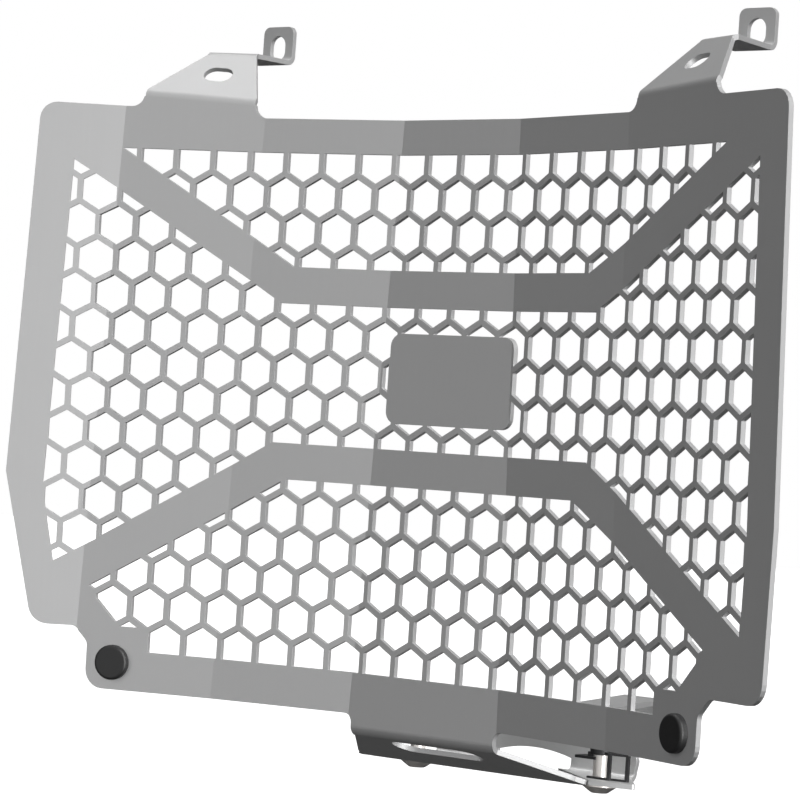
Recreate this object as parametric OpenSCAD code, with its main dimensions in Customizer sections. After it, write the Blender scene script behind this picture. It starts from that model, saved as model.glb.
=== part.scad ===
// Motorcycle radiator guard: one folded hexagon-mesh sheet with bent arms, and its lower bracket
// X to the right as seen from the front, Y back towards the radiator, Z up
// Origin midway between the slots of the two upright ears, on the ears' back faces
// All heights below are counted from the lower edge of the centre facet, and all depths from the
// middle of its thickness; the last module moves every part from there to the origin
// The sheet is drawn flat, cut into facets along slanting creases, and each facet is turned into place

/* [Sheet] */
// Thickness of the guard's sheet
sheet_t = 2; // [1.6:0.1:2.4]
// Height of the middle of the top edge
top_edge_z = 231; // [229.5:0.5:232]
// Height of the outer parts of the top edge
shoulder_z = 234.4; // [233.5:0.2:235]
// Half width at the widest point of the outer edges
half_width = 191; // [190:0.5:193]
// Height of the widest point
waist_z = 85; // [80:1:90]
// Lean of the outer edges above the waist
side_lean = 2.1; // [1.5:0.1:2.6]
// Radius of the upper outer corners
top_corner_r = 7; // [5:0.5:8]
// Height of the lower edge of the flanks
flank_edge_z = 24.4; // [23.5:0.2:25]
// Lean inwards of the left edge below the waist
left_taper = 12.7; // [11.5:0.1:13.5]
// Lean inwards of the right edge below the waist
right_taper = 1.6; // [1:0.1:2.5]
// Radius of the lower outer corners
low_corner_r = 8; // [6:0.5:9]
// Half width of the chin below the flanks
chin_half = 153.5; // [152:0.5:155]
// Radius of the chin's lower corners
chin_r = 7.5; // [5:0.5:9]

/* [Creases] */
// Distance of the inner creases from the centre line, at the lower edge
inner_crease_x = 36.5; // [35:0.5:37.5]
// Distance of the outer creases from the centre line, at the lower edge
outer_crease_x = 98.5; // [97.5:0.5:100]
// Distance of the left end crease outside the chin's side, at the lower edge
end_out = 6; // [5.5:0.5:7.5]
// Slant of the creases, which close up towards the top
crease_slant = 2; // [1.5:0.1:2.5]
// Fold at the inner creases
inner_fold = 13; // [11:0.5:15]
// Fold at the outer creases
outer_fold = 7; // [5:0.5:9]
// Fold at the left end crease
end_fold = 20; // [16:0.5:22]

/* [Mesh] */
// Pitch of the hexagons
mesh_pitch = 16; // [15.8:0.1:16.2]
// Width of the ribs between the hexagons
rib_w = 2.35; // [2:0.05:2.8]
// Height of the row of hexagons that the pattern is counted from
mesh_row_z = 200; // [199:0.5:201]
// Top of the upper mesh panel
upper_top_z = 217.5; // [217:0.5:218.5]
// Half width of the upper mesh panel along its top
upper_half = 151.5; // [150.5:0.5:152.5]
// Bottom of the upper mesh panel
upper_bottom_z = 172.5; // [171.5:0.5:173.5]
// Height of the middle panel's top between its slants
middle_top_z = 158.1; // [157.5:0.2:159]
// Height of the middle panel's bottom between its slants
middle_bottom_z = 103.1; // [102.5:0.2:104]
// Half width of the straight top and bottom of the middle panel
middle_half = 78; // [77:0.5:79]
// Half width of the middle panel at its sides
middle_side = 176; // [175:0.2:177]
// Height of the lower panel's top between its slants
lower_top_z = 88.8; // [88:0.2:89.5]
// Bottom of the lower mesh panel
lower_bottom_z = 15.85; // [15.2:0.05:16.4]
// Half width of the straight top of the lower panel
lower_half = 71.5; // [70.5:0.5:72.5]
// Width of the bare plate in the middle of the mesh
plate_w = 61; // [60:0.5:63]
// Height of the bare plate
plate_h = 35; // [34:0.5:36]
// Height of the bare plate's middle
plate_z = 130.7; // [129.5:0.2:131.5]

/* [Arms] */
// Inner radius of every bend
bend_r = 2; // [1.5:0.1:2.5]
// Distance of the tab's bend from the centre line, along the sheet
tab_x = 95.3; // [95:0.1:95.8]
// Height of the bend's inner end
tab_z = 237.2; // [236.6:0.2:238]
// Length of the tab's bend
tab_w = 47.6; // [46.5:0.1:48]
// Slant of the tab's bend, rising outwards
tab_slant = 3.1; // [2.7:0.1:3.5]
// Fold of the tab, back from the sheet
tab_fold = 45; // [43:0.5:47]
// Set-in of the tab's inner side at its top
tab_in = 10; // [9:0.5:11]
// Width of the tab at its top
tab_top_w = 20.8; // [20:0.2:21.6]
// Length of the slot in the tab
tab_slot_l = 12; // [10:0.5:13]
// Width of the slot in the tab
tab_slot_w = 8.4; // [7.5:0.1:9]
// Height of the tab slot above the bend, along the tab
tab_slot_up = 14.2; // [13.6:0.1:14.8]
// Set-in of the tab slot towards the centre line
tab_slot_off = 0.5; // [0:0.1:1]
// Height of the upper face of the level strip
strip_top_z = 259.3; // [258.5:0.1:260]
// Front face of the upright ear
ear_y = 21.3; // [20:0.1:22.5]
// Distance of the ear's middle from the centre line
ear_x = 117.1; // [116.5:0.1:117.6]
// Width of the ear
ear_w = 16; // [15:0.5:17]
// Height of the ear's top edge
ear_top_z = 273.4; // [272.5:0.1:274.5]
// Width of the ear's slot
ear_slot_w = 8; // [6.5:0.1:8.6]
// Height of the slot's top end
ear_slot_top = 269.6; // [269:0.1:270]
// Length of the ear's slot, end to end
ear_slot_l = 10.4; // [9.5:0.1:11]

/* [Lower flange] */
// Half width of the neck between the relief notches
neck_half = 34.9; // [34:0.1:35]
// Radius of the relief notches
notch_r = 3.6; // [3:0.1:4]
// Height where the bend begins
flange_bend_z = -4.6; // [-5.5:0.1:-4]
// Slope of the flange below the level
flange_tilt = 19; // [17:0.5:21]
// Length of the flange behind its bend
flange_l = 32; // [30:0.5:33]
// Half width of the flange at its rear edge
flange_half = 57; // [55:0.5:58]
// Radius of the flange's rear corners
flange_r = 4; // [3:0.5:6]
// Length of the slot in the flange
flange_slot_l = 42; // [38:0.5:44]
// Width of the slot in the flange
flange_slot_w = 12.8; // [11:0.2:14]
// Distance from the bend to the middle of the slot
flange_slot_s = 9; // [8.5:0.1:10]

/* [Lower bracket] */
// Thickness of the bracket's sheet
bracket_t = 2; // [1.6:0.1:2.4]
// Front face of the bracket's web
web_y = 72; // [70:0.5:74]
// Underside of the bracket's feet
foot_z = -19.7; // [-20.5:0.1:-19]
// Half width of the arch in the web
arch_half = 18.5; // [17:0.5:20]
// Height of the arch at its middle
arch_z = -10.9; // [-11.5:0.1:-10.4]
// Radius of the arch's crown
arch_r = 70; // [60:1:80]
// Half width of the web's lower band
web_half = 50.7; // [49.5:0.1:52]
// Top of the web's lower band at its ends
band_top_z = -8.5; // [-9.5:0.1:-8]
// Height of the web's top edge between its posts
web_top_z = 3; // [1:0.5:5]
// Upper face of the arms that reach the guard
reach_z = 14.3; // [13.6:0.1:14.6]
// Height of the left arm below the right one
reach_drop = 5; // [4.6:0.1:5.6]
// Diameter of the holes in the feet
foot_hole_d = 6.8; // [6.6:0.1:7.2]

/* [Fasteners] */
// Distance of the lower screws from the centre line
screw_x = 45.4; // [45:0.1:46]
// Distance of the lower screws behind the sheet
screw_y = 54.8; // [54.2:0.1:55.6]
// Diameter of the screw's shank
screw_d = 6; // [5.8:0.1:6]
// Length of the screw's shank
screw_l = 18; // [16:0.5:19]
// Diameter of the screw's flange
screw_flange_d = 13.4; // [12.5:0.1:14]
// Diameter of the screw's rounded head
screw_head_d = 10.4; // [9.5:0.1:11]
// Height of the whole head
screw_head_h = 4; // [3.4:0.1:4.4]
// Width across the flats of the socket
socket_af = 4; // [3.5:0.5:5]
// Thickness of the clip nut's strip
clip_t = 0.8; // [0.6:0.1:1]
// Width of the clip nut
clip_w = 14; // [12:0.5:15]
// Length of the clip nut
clip_l = 17.1; // [16:0.1:18]
// Gap between the clip nut's leaves
clip_gap = 7.5; // [6:0.1:8]
// Size of the nut on the clip
nut_w = 10; // [9:0.5:11]
// Height of the nut on the clip
nut_h = 5; // [4:0.5:6]
// Clearance of the nut's bore round the shank
thread_clear = 0.06; // [0.05:0.01:0.1]

/* [Bump stops] */
// Distance of the bump stops in from the chin's sides, along the sheet
stop_in = 11.8; // [11:0.1:12.4]
// Height of the bump stops
stop_z = 10.9; // [10.4:0.1:11.6]
// Diameter of the bump stop's head
stop_d = 14; // [12:0.5:15]
// Height of the head in front of the sheet
stop_h = 3; // [2.4:0.1:4]
// Rounding of the head's rim
stop_round = 1.2; // [0.6:0.1:1.5]
// Diameter of the hole in the sheet
stop_hole_d = 7; // [6.5:0.1:8]
// Clearance round the stem
stop_clear = 0.2; // [0.1:0.05:0.3]
// Diameter of the barb behind the sheet
stop_barb_d = 9.6; // [9:0.1:10.5]

/* [Hidden] */

sheet_half = sheet_t/2;
far = 320;
shell_x = 250;
shell_low = 40;
shell_top = 275;
shell_margin = 20;
overlap = 0.4;

// A plate between two bends reaches into both by a lap, and is thinner by a hair on each side
lap = 0.3;
lap_step = 0.02;
lapped_t = sheet_t - 2*lap_step;

// Facets of arcs
round_fn = 48;
small_fn = 32;
arc_steps = 6;

// Sizes of the outline that follow from the ones above
lean_x = tan(side_lean);
top_outer_x = half_width - lean_x*(shoulder_z - waist_z);
chamfer_drop = 6.2;
chamfer_r = 4;
shoulder_fillet = 5.2;
stop_x = chin_half - stop_in;
end_crease_x = chin_half + end_out;
root_over = 8;
root_margin = 0.3;
root_in_x = tab_x - root_margin;
root_out_x = tab_x + tab_w + root_margin;

// Sizes of the mesh
hex_af = mesh_pitch - rib_w;
hex_r = hex_af/2/cos(30);
row_step = mesh_pitch*cos(30);
cell_depth = 8;
first_row = -1;
last_row = 13;
last_col = 11;
panel_slope = 30;
panel_kink_drop = 6;
panel_kink_z = waist_z - panel_kink_drop;
panel_taper_less = 1.3;
upper_low_half = upper_half - (upper_top_z - upper_bottom_z)/tan(panel_slope);
plate_x = 2.5;
plate_r = 5;
cut_reach = 114.8;
step_x = 128;
step_z = 25.4;

// The arc that rounds corner b between its neighbours a and c, and an outline with rounded corners
function unit(v) = v/norm(v);
function turned_flat(v, a) = [v[0]*cos(a) - v[1]*sin(a), v[0]*sin(a) + v[1]*cos(a)];
function corner_arc(a, b, c, r) =
    let (u = unit(a - b), v = unit(c - b), half = acos(u*v)/2, middle = b + unit(u + v)*r/sin(half),
        start = b + u*r/tan(half) - middle, side = cross(u, v) > 0 ? -1 : 1)
    [for (i = [0:arc_steps]) middle + turned_flat(start, side*(180 - 2*half)*i/arc_steps)];
function flat(p) = [p[0], p[1]];
function rounded(corners) =
    let (last = len(corners))
    [for (i = [0:last - 1]) let (b = corners[i])
        each b[2] == 0 ? [flat(b)] : corner_arc(flat(corners[(i + last - 1) % last]), flat(b),
            flat(corners[(i + 1) % last]), b[2])];
function backwards(list) = [for (i = [len(list) - 1:-1:0]) list[i]];
function mirrored(list) = [for (p = list) [-p[0], p[1], p[2]]];

// Turns of a point or direction about a slanting crease
function about_y(a) = [[cos(a), 0, sin(a)], [0, 1, 0], [-sin(a), 0, cos(a)]];
function about_z(a) = [[cos(a), -sin(a), 0], [sin(a), cos(a), 0], [0, 0, 1]];
function folded(p, b, s, a) = [b, 0, 0] + about_y(s)*(about_z(a)*(about_y(-s)*(p - [b, 0, 0])));
function on_flank(p) = folded(folded(p, outer_crease_x, -crease_slant, -outer_fold),
    inner_crease_x, -crease_slant, -inner_fold);

// Frame of the tab: its bend line, and the way up along the tab
bend_mid = bend_r + sheet_half;
tab_set = bend_mid*tan(tab_fold/2);
tab_origin = on_flank([tab_x, 0, tab_z]);
tab_along = on_flank([tab_x + cos(tab_slant), 0, tab_z + sin(tab_slant)]) - tab_origin;
tab_rise = on_flank([tab_x - cos(tab_fold)*sin(tab_slant), sin(tab_fold),
    tab_z + cos(tab_fold)*cos(tab_slant)]) - tab_origin;

// Turn in the tab's plane that makes its top bend level, and the frame of that bend
level_turn = atan2(tab_along[2], tab_rise[2]);
level_along = tab_along*cos(level_turn) - tab_rise*sin(level_turn);
level_rise = tab_rise*cos(level_turn) + tab_along*sin(level_turn);
strip_fold = asin(level_rise[2]);
strip_heading = atan2(level_along[1], level_along[0]);
strip_mid_z = strip_top_z - sheet_half;
tab_l = (strip_mid_z - tab_origin[2])/tab_rise[2];
strip_set = bend_mid*tan(strip_fold/2);
top_origin = tab_origin + tab_rise*tab_l;
strip_back = [-sin(strip_heading), cos(strip_heading), 0];
top_near = top_origin + level_along*tab_in;
top_far = top_near + level_along*tab_top_w;
strip_near = top_near + strip_back*strip_set;
strip_far = top_far + strip_back*strip_set;

// Sizes of the lower bracket and what sits on it
foot_top = foot_z + bracket_t;
bracket_bend = bend_r + bracket_t;
bend_y = web_y - bend_r;
clip_over = 10.1;
clip_out = screw_x + clip_over;
upper_leaf_z = foot_top + clip_t + clip_gap;
web_cut = 1.5;
web_r = 3;
reach_in = 43.7;
reach_w = 13.8;
foot_in_x = 14;
foot_front_x = 47.6;
foot_front_y = 43.6;
foot_tip_x = 66.7;
foot_tip_y = 48.1;
foot_r = 1;
reach_turn_x = 67;
reach_turn_y = 57;
reach_end_in = 75;
reach_end_out = 94;
reach_end_y = -16;

// A body turned about a slanting crease
module turned(b, s, a) {
    translate([b, 0, 0]) rotate([0, s, 0]) rotate([0, 0, a]) rotate([0, -s, 0]) translate([-b, 0, 0])
        children();
}

// Everything in front of a plane set back from the middle of the centre facet
module half_space(back, margin) {
    translate([-shell_x - margin, back - far, -shell_low - margin])
        cube([2*shell_x + 2*margin, far, shell_low + shell_top + 2*margin]);
}

// A body placed on the outer right flank
module on_right_flank() {
    turned(inner_crease_x, -crease_slant, -inner_fold)
        turned(outer_crease_x, -crease_slant, -outer_fold) children();
}

// A body placed on the left flank that stands next to the left end crease
module on_left_flank() {
    turned(-inner_crease_x, crease_slant, inner_fold)
        turned(-outer_crease_x, crease_slant, outer_fold) children();
}

// A flat shape stood up as a plate in the middle of the sheet's thickness
module plate(t) {
    translate([0, t/2, 0]) rotate([90, 0, 0]) linear_extrude(t) children();
}

// A round-ended slot along X
module obround(l, w) {
    square([l - w, w], center = true);
    for (s = [-1, 1]) translate([s*(l - w)/2, 0]) circle(d = w, $fn = round_fn);
}

// One side of the sheet's outline, from the neck up, with the lean of its lower outer edge
function side_outline(taper) = [[neck_half, flange_bend_z, 0], [neck_half, 0, notch_r],
    [chin_half, 0, chin_r], [chin_half, flank_edge_z - chamfer_drop, chamfer_r],
    [chin_half + chamfer_drop, flank_edge_z, chamfer_r],
    [half_width - tan(taper)*(waist_z - flank_edge_z), flank_edge_z, low_corner_r],
    [half_width, waist_z, 0], [top_outer_x, shoulder_z, top_corner_r],
    [root_out_x, shoulder_z, shoulder_fillet], [root_out_x, shoulder_z + root_over, 0],
    [root_in_x, shoulder_z + root_over, 0], [root_in_x, top_edge_z, shoulder_fillet]];

// The sheet's outline, flat
module outline() {
    polygon(rounded(concat(side_outline(right_taper), backwards(mirrored(side_outline(left_taper))))));
}

// Half of the three mesh panels, flat, with the slant of their lower outer side
module half_panels(taper) {
    slope = tan(panel_slope);
    side_top = middle_side - lean_x*(shoulder_z - panel_kink_z);
    polygon([[0, upper_bottom_z], [upper_low_half, upper_bottom_z], [upper_half, upper_top_z],
        [0, upper_top_z]]);
    intersection() {
        polygon([[0, middle_bottom_z], [middle_half, middle_bottom_z],
            [half_width, middle_bottom_z - (half_width - middle_half)*slope],
            [half_width, middle_top_z + (half_width - middle_half)*slope],
            [middle_half, middle_top_z], [0, middle_top_z]]);
        polygon([[0, 0], [middle_side - panel_kink_z*tan(taper), 0], [middle_side, panel_kink_z],
            [side_top, shoulder_z], [0, shoulder_z]]);
    }
    low_tip_x = (lower_top_z + lower_half*slope + cut_reach)/(1 + slope);
    polygon([[0, lower_bottom_z], [step_x, lower_bottom_z], [step_x, step_z],
        [step_z + cut_reach, step_z], [low_tip_x, low_tip_x - cut_reach],
        [lower_half, lower_top_z], [0, lower_top_z]]);
}

// The mesh panels without the bare plate in the middle
module panels() {
    difference() {
        union() {
            half_panels(right_taper);
            mirror([1, 0]) half_panels(left_taper - panel_taper_less);
        }
        translate([plate_x, plate_z]) polygon(rounded([[-plate_w/2, -plate_h/2, plate_r],
            [plate_w/2, -plate_h/2, plate_r], [plate_w/2, plate_h/2, plate_r],
            [-plate_w/2, plate_h/2, plate_r]]));
    }
}

// What is cut away round one facet: the stretch between two creases, less the outline
module facet_waste(from_x, to_x, from_slant, to_slant) {
    plate(cell_depth) difference() {
        polygon([[from_x - far*tan(from_slant) - overlap, -far],
            [to_x - far*tan(to_slant) + overlap, -far],
            [to_x + far*tan(to_slant) + overlap, far],
            [from_x + far*tan(from_slant) - overlap, far]]);
        outline();
    }
}

// Prisms through the sheet for the hexagons whose middles lie between two lines
module facet_cells(from_x, to_x, from_slant, to_slant) {
    plate(cell_depth) intersection() {
        panels();
        for (row = [first_row:last_row], col = [-last_col:last_col]) {
            x = (col + (row % 2 == 0 ? 0 : 0.5))*mesh_pitch;
            z = mesh_row_z - row*row_step;
            if (x >= from_x + z*tan(from_slant) && x < to_x + z*tan(to_slant))
                translate([x, z]) rotate(30) circle(hex_r, $fn = 6);
        }
    }
}

// Prism through the sheet for the bump stop's hole
module stop_hole(s) {
    translate([s*stop_x, cell_depth/2, stop_z]) rotate([90, 0, 0])
        cylinder(d = stop_hole_d, h = cell_depth, $fn = small_fn);
}

// A bend of the guard's sheet that turns a rising plate back, starting at the origin
module bend_back(w, a) {
    translate([w, bend_mid, 0]) rotate([90, 0, -90]) rotate_extrude(angle = a, $fn = round_fn)
        translate([bend_r, 0]) square([sheet_t, w]);
}

// A body placed at the far end of such a bend
module after_bend(a) {
    translate([0, bend_mid, 0]) rotate([-a, 0, 0]) translate([0, -bend_mid, 0]) children();
}

// A quarter bend about X from a level plate to an upright one behind it
module bend_upright(w, t) {
    rotate([0, 90, 0]) rotate_extrude(angle = 90, $fn = round_fn)
        translate([bend_r, 0]) square([t, w]);
}

// The tab of the right arm, on the outer flank, with its slot and both of its bends
module tab() {
    near = [tab_in*cos(level_turn) - strip_set*sin(level_turn),
        tab_l - tab_in*sin(level_turn) - strip_set*cos(level_turn) - tab_set];
    along = [cos(level_turn), -sin(level_turn)];
    up = [sin(level_turn), cos(level_turn)];
    near_in = near + along*lap_step;
    far_in = near + along*(tab_top_w - lap_step);
    slot_u = (tab_w/2 + tab_in + tab_top_w/2)/2 - tab_slot_off;
    translate([tab_x, 0, tab_z]) rotate([0, -tab_slant, 0]) translate([0, 0, -tab_set]) {
        bend_back(tab_w, tab_fold);
        after_bend(tab_fold) {
            plate(lapped_t) difference() {
                polygon([[lap_step, -lap], [tab_w - lap_step, -lap], [tab_w - lap_step, lap], far_in,
                    far_in + up*lap, near_in + up*lap, near_in, [lap_step, lap]]);
                translate([slot_u, tab_slot_up - tab_set]) obround(tab_slot_l, tab_slot_w);
            }
            translate([0, 0, tab_l - tab_set]) rotate([0, level_turn, 0])
                translate([tab_in, 0, -strip_set]) bend_back(tab_top_w, strip_fold);
        }
    }
}

// The level strip behind the tab and the upright ear at its end
module ear() {
    ear_low = strip_top_z + bend_r;
    corner = 3;
    near_x = ear_x - ear_w/2;
    along = flat(level_along)*lap_step;
    into = flat(strip_back)*lap;
    translate([0, 0, strip_top_z - sheet_t + lap_step]) linear_extrude(lapped_t)
        polygon([flat(strip_near) + along - into, flat(strip_far) - along - into,
            flat(strip_far) - along, [near_x + ear_w - lap_step, ear_y - bend_r],
            [near_x + ear_w - lap_step, ear_y - bend_r + lap],
            [near_x + lap_step, ear_y - bend_r + lap],
            [near_x + lap_step, ear_y - bend_r], flat(strip_near) + along]);
    difference() {
        union() {
            translate([near_x, ear_y - bend_r, ear_low]) bend_upright(ear_w, sheet_t);
            translate([ear_x, ear_y + sheet_half, 0]) plate(sheet_t)
                polygon(rounded([[-ear_w/2, ear_low, 0], [ear_w/2, ear_low, 0],
                    [ear_w/2, ear_top_z, corner], [-ear_w/2, ear_top_z, corner]]));
        }
        translate([ear_x, ear_y, ear_slot_top - ear_slot_l/2]) plate(4*bend_mid)
            rotate(90) obround(ear_slot_l, ear_slot_w);
    }
}

// The lower flange: a bent profile below the neck, cut to its plan with flared sides and a slot
module lower_flange() {
    turn = 90 - flange_tilt;
    outer_r = bend_r + sheet_t;
    outer_z = flange_bend_z - outer_r*tan(turn/2);
    inner_z = flange_bend_z - bend_r*tan(turn/2);
    back = [cos(flange_tilt), -sin(flange_tilt)];
    down = [-sin(flange_tilt), -cos(flange_tilt)];
    tip = [bend_mid, flange_bend_z] + back*flange_l;
    intersection() {
        translate([-flange_half, 0, 0]) rotate([90, 0, 90]) linear_extrude(2*flange_half)
            polygon(rounded([[-sheet_half, flange_bend_z, 0], [sheet_half, flange_bend_z, 0],
                [sheet_half, inner_z, bend_r], concat(tip + down*bend_r, 0),
                concat(tip + down*outer_r, 0), [-sheet_half, outer_z, outer_r]]));
        translate([0, bend_mid, flange_bend_z]) rotate([-flange_tilt, 0, 0])
            translate([0, 0, -cell_depth]) linear_extrude(2*cell_depth) difference() {
                polygon(rounded([[-neck_half, -cell_depth, 0], [neck_half, -cell_depth, 0],
                    [neck_half, overlap, 0], [flange_half, flange_l, flange_r],
                    [-flange_half, flange_l, flange_r], [-neck_half, overlap, 0]]));
                translate([0, flange_slot_s]) obround(flange_slot_l, flange_slot_w);
            }
    }
}

// All that lies in front of every facet, whose planes are set back by a given distance
module in_front(back, margin) {
    intersection() {
        half_space(back, margin);
        turned(inner_crease_x, -crease_slant, -inner_fold) half_space(back, margin);
        turned(-inner_crease_x, crease_slant, inner_fold) half_space(back, margin);
        on_right_flank() half_space(back, margin);
        on_left_flank() half_space(back, margin);
        on_left_flank() turned(-end_crease_x, crease_slant, end_fold) half_space(back, margin);
    }
}

// What is cut away above the root of a tab, level with the start of its bend
module root_waste() {
    translate([tab_x, 0, tab_z]) rotate([0, -tab_slant, 0])
        translate([-overlap - root_margin, -cell_depth/2, -tab_set])
            cube([tab_w + 2*overlap + 2*root_margin, cell_depth, root_over]);
}

// The sheet without its holes: a folded shell, cut to the outline facet by facet
module blank() {
    difference() {
        in_front(sheet_half, 0);
        in_front(-sheet_half, shell_margin);
        facet_waste(-inner_crease_x, inner_crease_x, crease_slant, -crease_slant);
        turned(inner_crease_x, -crease_slant, -inner_fold)
            facet_waste(inner_crease_x, outer_crease_x, -crease_slant, -crease_slant);
        turned(-inner_crease_x, crease_slant, inner_fold)
            facet_waste(-outer_crease_x, -inner_crease_x, crease_slant, crease_slant);
        on_right_flank() facet_waste(outer_crease_x, far, -crease_slant, 0);
        for (side = [0, 1]) mirror([side, 0, 0]) on_right_flank() root_waste();
        on_left_flank() {
            facet_waste(-end_crease_x, -outer_crease_x, crease_slant, crease_slant);
            turned(-end_crease_x, crease_slant, end_fold)
                facet_waste(-far, -end_crease_x, 0, crease_slant);
        }
    }
}

// The guard: the folded blank pierced facet by facet, with two arms and the lower flange
module guard_sheet() {
    color([0.58, 0.59, 0.61]) {
        difference() {
            union() {
                blank();
                lower_flange();
                for (side = [0, 1]) mirror([side, 0, 0]) {
                    on_right_flank() tab();
                    ear();
                }
            }
            facet_cells(-inner_crease_x, inner_crease_x, crease_slant, -crease_slant);
            turned(inner_crease_x, -crease_slant, -inner_fold)
                facet_cells(inner_crease_x, outer_crease_x, -crease_slant, -crease_slant);
            turned(-inner_crease_x, crease_slant, inner_fold)
                facet_cells(-outer_crease_x, -inner_crease_x, crease_slant, crease_slant);
            on_right_flank() {
                facet_cells(outer_crease_x, far, -crease_slant, 0);
                stop_hole(1);
            }
            on_left_flank() {
                facet_cells(-end_crease_x, -outer_crease_x, crease_slant, crease_slant);
                stop_hole(-1);
                turned(-end_crease_x, crease_slant, end_fold)
                    facet_cells(-far, -end_crease_x, 0, crease_slant);
            }
        }
    }
}

// Half of the bracket's web, seen from the front, up to the bend of its arm
module half_web(arm_z) {
    low = foot_top + bend_r;
    top = arm_z - bracket_bend;
    neck_out = 46;
    neck_in = 33;
    difference() {
        polygon(rounded([[0, low, 0], [web_half - web_cut, low, 0], [web_half, band_top_z, web_r],
            [neck_out, band_top_z, 0], [neck_out, web_top_z - web_r, 0],
            [reach_in + reach_w, web_top_z + web_r/2, 0], [reach_in + reach_w, top, 0],
            [reach_in, top, 0], [neck_in, web_top_z, web_r], [0, web_top_z, 0]]));
        intersection() {
            translate([0, arch_z - arch_r]) circle(arch_r, $fn = 4*round_fn);
            translate([-overlap, low - overlap]) square([arch_half + overlap, arch_r]);
        }
    }
}

// The lower bracket: web with an arch, splayed feet below and arms above that reach the guard
module lower_bracket() {
    foot_l = web_half - web_cut - arch_half;
    color([0.72, 0.73, 0.74]) {
        translate([0, web_y + bracket_t/2, 0]) plate(bracket_t) {
            half_web(reach_z);
            mirror([1, 0]) half_web(reach_z - reach_drop);
        }
        for (side = [0, 1]) mirror([side, 0, 0]) {
            arm_z = reach_z - side*reach_drop;
            translate([arch_half, bend_y, foot_top + bend_r]) bend_upright(foot_l, bracket_t);
            translate([0, 0, foot_z]) linear_extrude(bracket_t) difference() {
                polygon(rounded([[foot_in_x, bend_y, 0], [foot_front_x, foot_front_y, foot_r],
                    [foot_tip_x, foot_tip_y, foot_r], [arch_half + foot_l, bend_y, 0]]));
                translate([screw_x, screw_y]) circle(d = foot_hole_d, $fn = small_fn);
            }
            translate([reach_in, bend_y, arm_z - bracket_bend]) rotate([90, 0, 90])
                rotate_extrude(angle = 90, $fn = round_fn)
                    translate([bend_r, 0]) square([bracket_t, reach_w]);
            difference() {
                translate([0, 0, arm_z - bracket_t]) linear_extrude(bracket_t)
                    polygon([[reach_in, bend_y], [reach_in + reach_w, bend_y],
                        [reach_turn_x, reach_turn_y], [reach_end_out, reach_end_y],
                        [reach_end_in, reach_end_y]]);
                turned(inner_crease_x, -crease_slant, -inner_fold)
                    translate([-far/2, sheet_half - far, -far/2]) cube(far);
            }
        }
    }
}

// A flanged button screw, its head down under the right foot
module screw() {
    flange_h = 1.2;
    socket_d = 2.2;
    dome_h = screw_head_h - flange_h;
    dome_r = (pow(screw_head_d/2, 2) + dome_h*dome_h)/2/dome_h;
    color([0.8, 0.77, 0.73]) translate([screw_x, screw_y, foot_z]) difference() {
        union() {
            translate([0, 0, -overlap]) cylinder(d = screw_d, h = screw_l + overlap, $fn = small_fn);
            translate([0, 0, -flange_h]) cylinder(d = screw_flange_d, h = flange_h, $fn = round_fn);
            rotate_extrude($fn = round_fn) intersection() {
                translate([0, dome_r - screw_head_h]) circle(dome_r, $fn = 2*round_fn);
                translate([0, -screw_head_h]) square([screw_head_d/2, dome_h + overlap]);
            }
        }
        translate([0, 0, -screw_head_h - overlap])
            cylinder(r = socket_af/2/cos(30), h = socket_d + overlap, $fn = 6);
    }
}

// The clip nut of the right side: two leaves joined by a pierced back, and a nut on the upper leaf
module clip_nut() {
    leg = 2.6;
    back_h = clip_gap + 2*clip_t;
    hole_d = screw_d + 2*thread_clear;
    color([0.16, 0.16, 0.17]) difference() {
        union() {
            for (z = [foot_top, upper_leaf_z])
                translate([clip_out - clip_l, screw_y - clip_w/2, z]) cube([clip_l, clip_w, clip_t]);
            translate([clip_out - clip_t, screw_y - clip_w/2, foot_top]) difference() {
                cube([clip_t, clip_w, back_h]);
                translate([-overlap, leg, clip_t])
                    cube([clip_t + 2*overlap, clip_w - 2*leg, clip_gap]);
            }
            translate([screw_x - nut_w/2, screw_y - nut_w/2, upper_leaf_z + clip_t - overlap])
                cube([nut_w, nut_w, nut_h + overlap]);
        }
        translate([screw_x, screw_y, foot_top - overlap])
            cylinder(d = foot_hole_d, h = clip_t + 2*overlap, $fn = small_fn);
        translate([screw_x, screw_y, upper_leaf_z - overlap])
            cylinder(d = hole_d, h = clip_t + nut_h + 2*overlap, $fn = small_fn);
    }
}

// A rubber bump stop in the right flank: head in front, stem in the hole, barb behind
module bump_stop() {
    stem_d = stop_hole_d - 2*stop_clear;
    barb_lead = 1;
    barb_h = 3;
    color([0.12, 0.12, 0.12]) on_right_flank() translate([stop_x, 0, stop_z]) rotate([90, 0, 0]) {
        translate([0, 0, sheet_half]) rotate_extrude($fn = round_fn) {
            square([stop_d/2 - stop_round, stop_h]);
            square([stop_d/2, stop_h - stop_round]);
            intersection() {
                translate([stop_d/2 - stop_round, stop_h - stop_round])
                    circle(stop_round, $fn = small_fn);
                square([stop_d/2, stop_h]);
            }
        }
        translate([0, 0, -sheet_half - stop_clear - overlap])
            cylinder(d = stem_d, h = sheet_t + stop_clear + 2*overlap, $fn = small_fn);
        translate([0, 0, -sheet_half - stop_clear - barb_h])
            cylinder(d1 = stem_d - barb_lead, d2 = stop_barb_d, h = barb_h, $fn = small_fn);
    }
}

// A part moved from the centre facet's lower edge to the origin between the ear slots
module placed() {
    translate([0, -ear_y - sheet_t, ear_slot_l/2 - ear_slot_top]) children();
}

// The same for a part of one side: 1 for the right side, 0 for the left
module placed_side(right) {
    placed() mirror([1 - right, 0, 0]) children();
}

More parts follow.
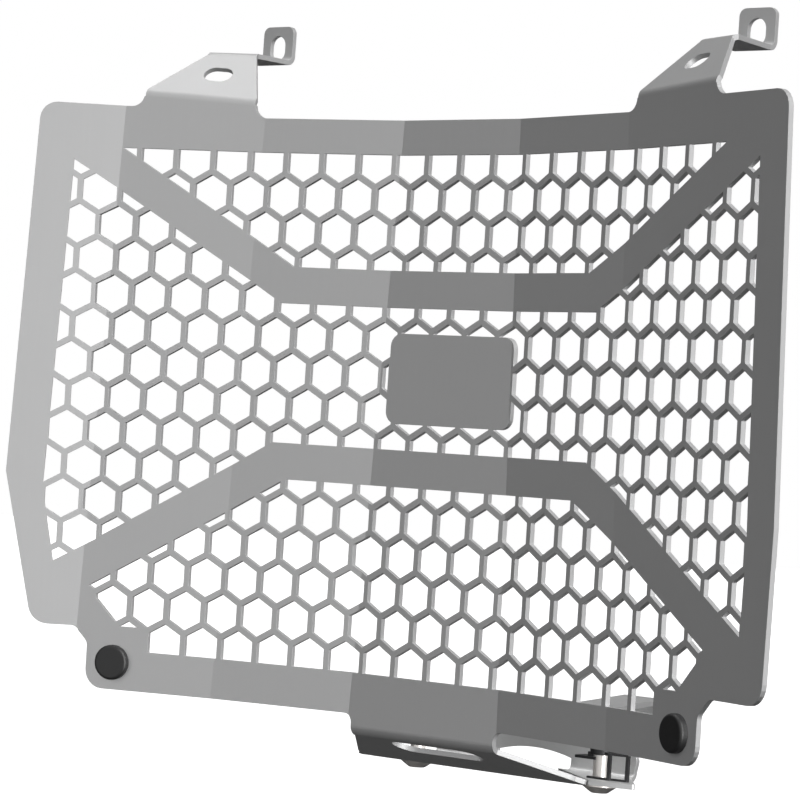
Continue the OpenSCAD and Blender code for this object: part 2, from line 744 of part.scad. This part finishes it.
placed() guard_sheet();
placed() lower_bracket();
placed_side(0) screw();  // screw_left
placed_side(1) screw();  // screw_right
placed_side(0) clip_nut();  // clip_nut_left
placed_side(1) clip_nut();  // clip_nut_right
placed_side(0) bump_stop();  // bump_stop_left
placed_side(1) bump_stop();  // bump_stop_right
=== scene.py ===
# Motorcycle radiator guard: one folded sheet with a hexagon mesh, two bent arms and a lower flange,
# with a bolted bracket behind it, two screws, two clip nuts and two rubber bump stops.
# Metres, X to the right as seen from the front, Y back towards the radiator, Z up.
import math

import bmesh
import bpy
from mathutils import Matrix, Vector


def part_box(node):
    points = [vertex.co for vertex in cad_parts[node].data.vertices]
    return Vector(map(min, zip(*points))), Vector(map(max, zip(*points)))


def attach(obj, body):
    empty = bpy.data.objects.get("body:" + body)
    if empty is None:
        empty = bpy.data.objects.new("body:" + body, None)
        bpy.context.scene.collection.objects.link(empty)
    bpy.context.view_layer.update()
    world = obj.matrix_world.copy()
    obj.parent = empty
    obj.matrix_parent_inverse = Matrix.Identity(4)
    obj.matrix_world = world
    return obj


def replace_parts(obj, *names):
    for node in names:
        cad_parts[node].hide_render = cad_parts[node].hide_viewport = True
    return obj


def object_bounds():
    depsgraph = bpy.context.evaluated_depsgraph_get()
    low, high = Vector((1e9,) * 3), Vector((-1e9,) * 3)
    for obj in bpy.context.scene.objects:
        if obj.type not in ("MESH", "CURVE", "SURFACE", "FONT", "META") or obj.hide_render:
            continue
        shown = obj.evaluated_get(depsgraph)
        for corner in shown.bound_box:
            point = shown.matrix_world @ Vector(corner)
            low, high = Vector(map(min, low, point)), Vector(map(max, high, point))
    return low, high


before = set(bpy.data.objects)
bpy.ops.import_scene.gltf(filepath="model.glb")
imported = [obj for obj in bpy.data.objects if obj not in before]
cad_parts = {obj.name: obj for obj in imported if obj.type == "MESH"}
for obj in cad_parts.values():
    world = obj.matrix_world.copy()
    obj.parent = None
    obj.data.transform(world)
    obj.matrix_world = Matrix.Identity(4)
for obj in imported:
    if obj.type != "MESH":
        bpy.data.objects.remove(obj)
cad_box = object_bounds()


# Guard sheet. One aluminium sheet of 2 mm, laser cut, folded along slanting creases and bent at its
# arms and lower flange, then bead blasted and anodised in a satin grey. Its ears are bolted to the
# radiator's own brackets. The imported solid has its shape, so mostly its finish is made here.
class Shade:
    """One socket of a material's nodes, which takes part in plain arithmetic."""

    def __init__(self, tree, socket=None):
        self.tree, self.socket = tree, socket

    def node(self, kind, inputs, output=0, stops=(), **settings):
        made = self.tree.nodes.new("ShaderNode" + kind)
        for name, value in settings.items():
            setattr(made, name, value)
        for step, (place, grey) in enumerate(stops):
            ramp = made.color_ramp.elements
            point = ramp[step] if step < len(ramp) else ramp.new(place)
            point.position, point.color = place, (grey, grey, grey, 1)
        for key, value in inputs.items():
            if isinstance(value, Shade):
                self.tree.links.new(value.socket, made.inputs[key])
            else:
                made.inputs[key].default_value = value
        return Shade(self.tree, made.outputs[output])

    def math(self, operation, first, second):
        return self.node("Math", {0: first, 1: second}, operation=operation)

    def __add__(self, other):
        return self.math("ADD", self, other)

    def __sub__(self, other):
        return self.math("SUBTRACT", self, other)

    def __rsub__(self, other):
        return self.math("SUBTRACT", other, self)

    def __mul__(self, other):
        return self.math("MULTIPLY", self, other)

    __radd__ = __add__


def finish(name, **constants):
    """A new material, with its shader, an open socket for arithmetic and its object coordinates."""
    material = bpy.data.materials.new(name)
    material.use_nodes = True
    shader = material.node_tree.nodes["Principled BSDF"]
    for key, value in constants.items():
        shader.inputs[key.replace("_", " ")].default_value = value
    start = Shade(material.node_tree)
    place = start.node("TexCoord", {}, output="Object")
    return material, shader, start, place


def noise(place, size, detail=3.0, stretch=(1, 1, 1)):
    """Soft noise from 0 to 1 whose lumps are about the given size in metres."""
    spread = tuple(1 / size / s for s in stretch)
    laid = place.node("Mapping", {"Vector": place, "Scale": spread})
    return place.node("TexNoise", {"Vector": laid, "Scale": 1.0, "Detail": detail}, output="Fac")


def patches(place, size, bare, full):
    """Patches out of noise: none where it is under bare, whole where it is over full."""
    return place.node("ValToRGB", {"Fac": noise(place, size, detail=5.0)},
                      stops=((bare, 0.0), (full, 1.0)))


def tint(start, amount, dark, light):
    """A colour between two others."""
    return start.node("Mix", {"Factor": amount, 6: (*dark, 1), 7: (*light, 1)}, output=2,
                      data_type="RGBA")


def grain(start, height, depth, edge):
    """The normal of a surface with a fine relief, and with its edges broken by a small radius."""
    soft = start.node("Bevel", {"Radius": edge}, samples=4)
    return start.node("Bump", {"Height": height, "Distance": depth, "Strength": 1.0,
                               "Normal": soft})


def feed(shader, socket, value):
    value.tree.links.new(value.socket, shader.inputs[socket])


def anodised_sheet():
    material, shader, start, place = finish("satin_anodised_sheet", Metallic=0.2, IOR=1.45)
    clouds = noise(place, size=0.09, detail=2.0)
    rolled = noise(place, size=0.0011, stretch=(1, 1, 26))
    blasted = noise(place, size=0.0006)
    worn = patches(place, size=0.012, bare=0.56, full=0.74)
    shade = clouds * 0.45 + rolled * 0.3 + blasted * 0.25
    colour = tint(start, shade, dark=(0.53, 0.531, 0.533), light=(0.58, 0.581, 0.583))
    feed(shader, "Base Color", colour)
    feed(shader, "Roughness", 0.46 + clouds * 0.08 + rolled * 0.06 - worn * 0.03)
    feed(shader, "Normal", grain(start, blasted + rolled * 0.6, depth=0.000012, edge=0.00025))
    return material


def dress(node, material):
    """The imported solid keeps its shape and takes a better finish."""
    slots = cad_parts[node].data.materials
    slots.clear()
    slots.append(material)


anodised = anodised_sheet()
dress("guard_sheet", anodised)


# Rear corners of the lower flange, part of the guard's own sheet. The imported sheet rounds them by
# 4 mm, and these small ends carry it on to the tighter corner of the real one, flush on its faces.
def corner_arc(before, corner, after, radius, steps=6):
    """The arc that rounds a corner of a flat outline, from the first side to the second."""
    first, second = (before - corner).normalized(), (after - corner).normalized()
    half = first.angle(second) / 2
    middle = corner + (first + second).normalized() * (radius / math.sin(half))
    start = corner + first * (radius / math.tan(half)) - middle
    sweep = math.pi - 2 * half
    return [middle + Matrix.Rotation(sweep * step / steps, 2) @ start for step in range(steps + 1)]


def raise_plate(form, outline, rise):
    """A plate raised over the vertices of its lower face. Gives the vertices of the upper one."""
    base = bmesh.ops.contextual_create(form, geom=outline)["faces"]
    lift = bmesh.ops.extrude_face_region(form, geom=base)["geom"]
    upper = [part for part in lift if isinstance(part, bmesh.types.BMVert)]
    bmesh.ops.translate(form, verts=upper, vec=rise)
    return upper


def new_piece(name, material, form):
    """An object of a finished form, riding on the guard."""
    bmesh.ops.recalc_face_normals(form, faces=form.faces)
    mesh = bpy.data.meshes.new(name)
    form.to_mesh(mesh)
    form.free()
    mesh.materials.append(material)
    piece = bpy.data.objects.new(name, mesh)
    bpy.context.scene.collection.objects.link(piece)
    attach(piece, "root")
    return piece


# The outline lies in the flange's own plane, and its places are counted from its bend's axis
neck, rear, other_rear = Vector((0.0349, 0.0004)), Vector((0.057, 0.032)), Vector((-0.057, 0.032))
packed_radius, real_radius = 0.004, 0.0012
bend_axis, bend_radius, sheet_thickness = Vector((0, -0.0203, -0.269)), 0.002, 0.002
flange_under, flange_tilt = -bend_radius - sheet_thickness, math.radians(19)
lying = Matrix.Translation(bend_axis) @ Matrix.Rotation(-flange_tilt, 4, "X")
corner = corner_arc(neck, rear, other_rear, real_radius)
corner += reversed(corner_arc(neck, rear, other_rear, packed_radius))
for side, mirror in (("left", -1), ("right", 1)):
    form = bmesh.new()
    under = [form.verts.new(lying @ Vector((spot.x * mirror, spot.y, flange_under)))
             for spot in corner]
    raise_plate(form, under, lying.to_3x3() @ Vector((0, 0, sheet_thickness)))
    new_piece(f"flange_corner_{side}", anodised, form)


# Lower bracket. Steel sheet of 2 mm, bent into a web with an arch, two splayed feet and two arms
# that are welded to the back of the guard. Zinc plated and lighter than the guard; its colour is
# also raised as painted light, to make up for the shade the guard casts on it.
def zinc_plate_and_painted_light():
    material, shader, start, place = finish("zinc_plated_steel_painted_lighter", Metallic=0.45, IOR=1.5)
    spangle = place.node("TexVoronoi", {"Vector": place, "Scale": 260.0, "Randomness": 1.0},
                         output="Color")
    flake = start.node("SeparateColor", {"Color": spangle}, output="Red")
    brushed = noise(place, size=0.0008, stretch=(30, 1, 1))
    dull = noise(place, size=0.02, detail=4.0)
    shade = flake * 0.25 + brushed * 0.35 + dull * 0.4
    # The lighter colour is partly the plating's own and partly painted light against the guard's
    # shadow.
    colour = tint(start, shade, dark=(0.7, 0.705, 0.71), light=(0.82, 0.82, 0.815))
    feed(shader, "Base Color", colour)
    feed(shader, "Roughness", 0.34 + flake * 0.05 + dull * 0.1)
    feed(shader, "Normal", grain(start, brushed + flake * 0.3, depth=0.000012, edge=0.00025))
    return material


dress("lower_bracket", zinc_plate_and_painted_light())


# Flanged screws, M6, of stainless steel, with a wide shallow head and a hexagon socket. They come
# up through the feet into the clip nuts. The lathe leaves fine rings on the head and flange.
def turned_steel(name, axis_x, axis_y):
    ring_pitch = 0.00022
    material, shader, start, place = finish(name, Metallic=0.25, IOR=1.5)
    centred = place.node("Mapping", {"Vector": place, "Location": (-axis_x, -axis_y, 0.0),
                                     "Scale": (1.0, 1.0, 0.0)})
    radius = start.node("VectorMath", {0: centred}, output="Value", operation="LENGTH")
    rings = start.node("Math", {0: radius * (2 * math.pi / ring_pitch)}, operation="SINE")
    smear = noise(place, size=0.0015, detail=4.0)
    colour = tint(start, smear, dark=(0.92, 0.875, 0.835), light=(0.98, 0.945, 0.91))
    feed(shader, "Base Color", colour)
    feed(shader, "Roughness", 0.27 + smear * 0.12)
    feed(shader, "Normal", grain(start, rings * 0.5 + smear, depth=0.000008, edge=0.0003))
    return material


def shaped(name, material, build, side, node):
    """A piece made in bmesh for one side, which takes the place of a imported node."""
    form = bmesh.new()
    build(form)
    bmesh.ops.remove_doubles(form, verts=form.verts, dist=1e-7)
    if side == "left":
        bmesh.ops.scale(form, verts=form.verts, vec=(-1, 1, 1))
    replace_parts(new_piece(name, material, form), node)


def loft(form, rings, centre, corners=48, closed=False):
    """Walls through level rings, each a radius, a height and its share of hexagon."""
    turn, sixth = 2 * math.pi / corners, math.pi / 3
    loops = []
    for radius, height, hexagon in rings:
        loop = []
        for step in range(corners):
            away = (step * turn + sixth / 2) % sixth - sixth / 2
            reach = radius * (1 - hexagon + hexagon / math.cos(away))
            loop.append(form.verts.new((centre[0] + reach * math.cos(step * turn),
                                        centre[1] + reach * math.sin(step * turn), height)))
        loops.append([form.edges.new((loop[step - 1], loop[step])) for step in range(corners)])
    for first, second in zip(loops, loops[1:] + (loops[:1] if closed else [])):
        bmesh.ops.bridge_loops(form, edges=first + second)
    if not closed:
        for loop in (loops[0], loops[-1]):
            bmesh.ops.contextual_create(form, geom=loop)


axis = ((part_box("screw_right")[0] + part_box("screw_right")[1]) / 2).xy
foot_under = -0.2841
foot_over = -0.2821


def flanged_screw(form):
    """From the socket's floor out over the head and flange, and up the shank to its end."""
    socket, mouth, crown, rim, shank = 0.002, 0.00215, 0.0031, 0.0067, 0.003
    socket_depth, mouth_depth, thread_lead = 0.0021, 0.0001, 0.0006
    flange_height, rim_break, lip_in, lip_down = 0.001, 0.0002, 0.00015, 0.00025
    slope = ((0.0034, 0.00012), (0.0045, 0.0009), (0.0058, 0.00185))
    head_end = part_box("screw_right")[0].z
    thread_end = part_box("screw_right")[1].z
    rings = [(socket, head_end + socket_depth, 1), (socket, head_end + mouth_depth, 1),
             (mouth, head_end, 1), (crown, head_end, 0)]
    rings += [(radius, head_end + rise, 0) for radius, rise in slope]
    rings += [(rim - lip_in, foot_under - flange_height - lip_down, 0),
              (rim, foot_under - flange_height, 0), (rim, foot_under - rim_break, 0),
              (rim - rim_break, foot_under, 0), (shank, foot_under, 0),
              (shank, thread_end - thread_lead, 0), (shank - thread_lead, thread_end, 0)]
    loft(form, rings, axis)


for side in ("left", "right"):
    across = axis.x if side == "right" else -axis.x
    steel = turned_steel(f"turned_steel_{side}", across, axis.y)
    shaped(f"flanged_screw_{side}", steel, flanged_screw, side, f"screw_{side}")


# Clip nuts, pushed over the feet: a strip of spring steel whose upper leaf carries a round nut and
# a narrow tongue, and stands by two legs on a rim over the foot. Black phosphate over steel, a
# little rubbed where it was pushed on.
def black_phosphate():
    material, shader, start, place = finish("black_phosphate", Metallic=0.35, IOR=1.5)
    crystal = noise(place, size=0.0005)
    rubbed = patches(place, size=0.004, bare=0.58, full=0.8)
    shade = crystal * 0.5 + rubbed * 0.5
    colour = tint(start, shade, dark=(0.022, 0.022, 0.024), light=(0.065, 0.065, 0.067))
    feed(shader, "Base Color", colour)
    feed(shader, "Roughness", 0.5 - rubbed * 0.1 + crystal * 0.08)
    feed(shader, "Normal", grain(start, crystal, depth=0.00001, edge=0.0002))
    return material


def slab(form, outline, low, high, soft=0.0001):
    """A plate between two heights with softened edges; its outline lies in plan."""
    own = [form.verts.new((x, y, low)) for x, y in outline]
    upper = raise_plate(form, own, (0, 0, high - low))
    edges = {edge for vert in own + upper for edge in vert.link_edges}
    bmesh.ops.bevel(form, geom=list(edges), offset=soft, segments=2, profile=0.5, affect="EDGES",
                    material=-1)


def clip_nut(form):
    strip, leaf = 0.0008, -0.2725
    upper_leaf = ((0.0440, 0.0298), (0.0490, 0.0286), (0.0525, 0.0260), (0.0598, 0.0290),
                  (0.0545, 0.0350), (0.0500, 0.0378), (0.0440, 0.0378))
    slab(form, upper_leaf, leaf, leaf + strip)

    tongue = ((0.0352, 0.0280), (0.0450, 0.0280), (0.0450, 0.0350), (0.0352, 0.0350))
    tongue_root = ((0.0410, 0.0284), (0.0438, 0.0284), (0.0438, 0.0346), (0.0410, 0.0346))
    tongue_under, tongue_over, root_under = leaf - 0.0025, leaf - 0.0014, leaf - 0.0023
    slab(form, tongue, tongue_under, tongue_over)
    slab(form, tongue_root, root_under, leaf + strip / 2)

    near_leg, far_leg = (0.0529, 0.0266), (0.0595, 0.0294)
    leg = ((-0.0007, -0.0007), (0.0007, -0.0003), (0.0005, 0.0009), (-0.0009, 0.0005))
    for x, y in (near_leg, far_leg):
        slab(form, [(x + dx, y + dy) for dx, dy in leg], foot_over, leaf + strip / 2)

    front_rim = ((0.0425, 0.0264), (0.0530, 0.0260), (0.0598, 0.0288), (0.0594, 0.0299),
                 (0.0528, 0.0271), (0.0425, 0.0274))
    slab(form, front_rim, foot_over, foot_over + strip)

    nut, bore, nut_under, nut_top = 0.0045, 0.00306, leaf - 0.0005, -0.268
    lower_break, upper_break = 0.0003, 0.0005
    rings = ((nut - lower_break, nut_under, 0), (nut, nut_under + lower_break, 0),
             (nut, nut_top - upper_break, 0), (nut - upper_break, nut_top, 0),
             (bore, nut_top, 0), (bore, nut_under, 0))
    loft(form, rings, axis, closed=True)


phosphate = black_phosphate()
for side in ("left", "right"):
    shaped(f"bent_clip_nut_{side}", phosphate, clip_nut, side, f"clip_nut_{side}")


# Bump stops of moulded rubber, pushed through holes in the lower corners of the guard and held by
# their barbs. They keep the guard's corners from rattling.
def moulded_rubber():
    material, shader, start, place = finish("moulded_rubber", IOR=1.5)
    bloom = noise(place, size=0.006, detail=4.0)
    pores = noise(place, size=0.0005)
    shade = bloom * 0.7 + pores * 0.3
    colour = tint(start, shade, dark=(0.012, 0.012, 0.012), light=(0.026, 0.026, 0.027))
    feed(shader, "Base Color", colour)
    feed(shader, "Roughness", 0.44 + bloom * 0.12)
    feed(shader, "Normal", grain(start, pores, depth=0.00002, edge=0.0002))
    return material


rubber = moulded_rubber()
for side in ("left", "right"):
    dress(f"bump_stop_{side}", rubber)


# Floor. A plain pale studio floor below the guard, which hangs free as it does on its bolts.
floor_gap = 0.12
floor_radius = 9.0
disc = bmesh.new()
bmesh.ops.create_circle(disc, cap_ends=True, segments=96, radius=floor_radius)
bmesh.ops.translate(disc, verts=disc.verts, vec=(0, 0, cad_box[0].z - floor_gap))
floor_mesh = bpy.data.meshes.new("studio_floor")
disc.to_mesh(floor_mesh)
disc.free()
floor = bpy.data.objects.new("studio_floor", floor_mesh)
bpy.context.scene.collection.objects.link(floor)
floor_paint, floor_shader, floor_start, floor_place = finish("pale_floor", Roughness=0.9)
floor_colour = tint(floor_start, noise(floor_place, size=0.4), dark=(0.86, 0.86, 0.86),
                    light=(0.9, 0.9, 0.9))
feed(floor_shader, "Base Color", floor_colour)
floor_shader.inputs["Emission Color"].default_value = (1, 1, 1, 1)
floor_shader.inputs["Emission Strength"].default_value = 0.7
floor_mesh.materials.append(floor_paint)
floor.visible_diffuse = False
floor.visible_glossy = False


# Studio light. A broad key from the right and above, a weak front fill, two soft boxes that show
# only as a sheen, and a dim room. What the camera sees past the floor is plain white.
def sun(name, towards, strength, spread, shadow=False, sheen_only=False):
    lamp = bpy.data.lights.new(name, "SUN")
    lamp.energy = strength
    lamp.angle = math.radians(spread)
    lamp.use_shadow = shadow
    holder = bpy.data.objects.new(name, lamp)
    holder.visible_diffuse = not sheen_only
    holder.rotation_mode = "QUATERNION"
    holder.rotation_quaternion = Vector(towards).to_track_quat("Z", "Y")
    bpy.context.scene.collection.objects.link(holder)


sun("key_light", towards=(0.72, -0.127, 0.68), strength=2.7, spread=20)
sun("front_fill", towards=(0.0, -1.0, 0.2), strength=0.85, spread=60, shadow=True)
sun("side_sheen", towards=(0.964, -0.266, 0.0), strength=3.7, spread=25, sheen_only=True)
sun("top_sheen", towards=(-0.32, -0.08, 0.94), strength=0.95, spread=25, sheen_only=True)

room = bpy.data.worlds.new("studio_room")
bpy.context.scene.world = room
room.use_nodes = True
room.node_tree.nodes.clear()
walls = Shade(room.node_tree)
seen = walls.node("LightPath", {}, output="Is Camera Ray")
dim = walls.node("Background", {"Color": (1, 1, 1, 1), "Strength": 0.06})
white = walls.node("Background", {"Color": (1, 1, 1, 1), "Strength": 1.0})
both = walls.node("MixShader", {0: seen, 1: dim, 2: white})
ending = room.node_tree.nodes.new("ShaderNodeOutputWorld")
room.node_tree.links.new(both.socket, ending.inputs["Surface"])
bpy.context.scene.view_settings.view_transform = "Standard"


# Camera. A long lens in front of the guard, to its right and level with its middle.
camera_data = bpy.data.cameras.new("camera")
camera_data.lens = 150.12
camera_data.sensor_width = 36.0
camera_data.clip_end = 60.0
camera = bpy.data.objects.new("camera", camera_data)
eye = Vector((0.7972, -1.0192, -0.16635))
across = Vector((0.7713, 0.6328, 0.0682)).normalized()
backwards = Vector((0.6352, -0.7721, -0.0190)).normalized()
upwards = backwards.cross(across)
turn = Matrix((across, upwards, backwards)).transposed()
camera.matrix_world = Matrix.Translation(eye) @ turn.to_4x4()
bpy.context.scene.collection.objects.link(camera)
bpy.context.scene.camera = camera
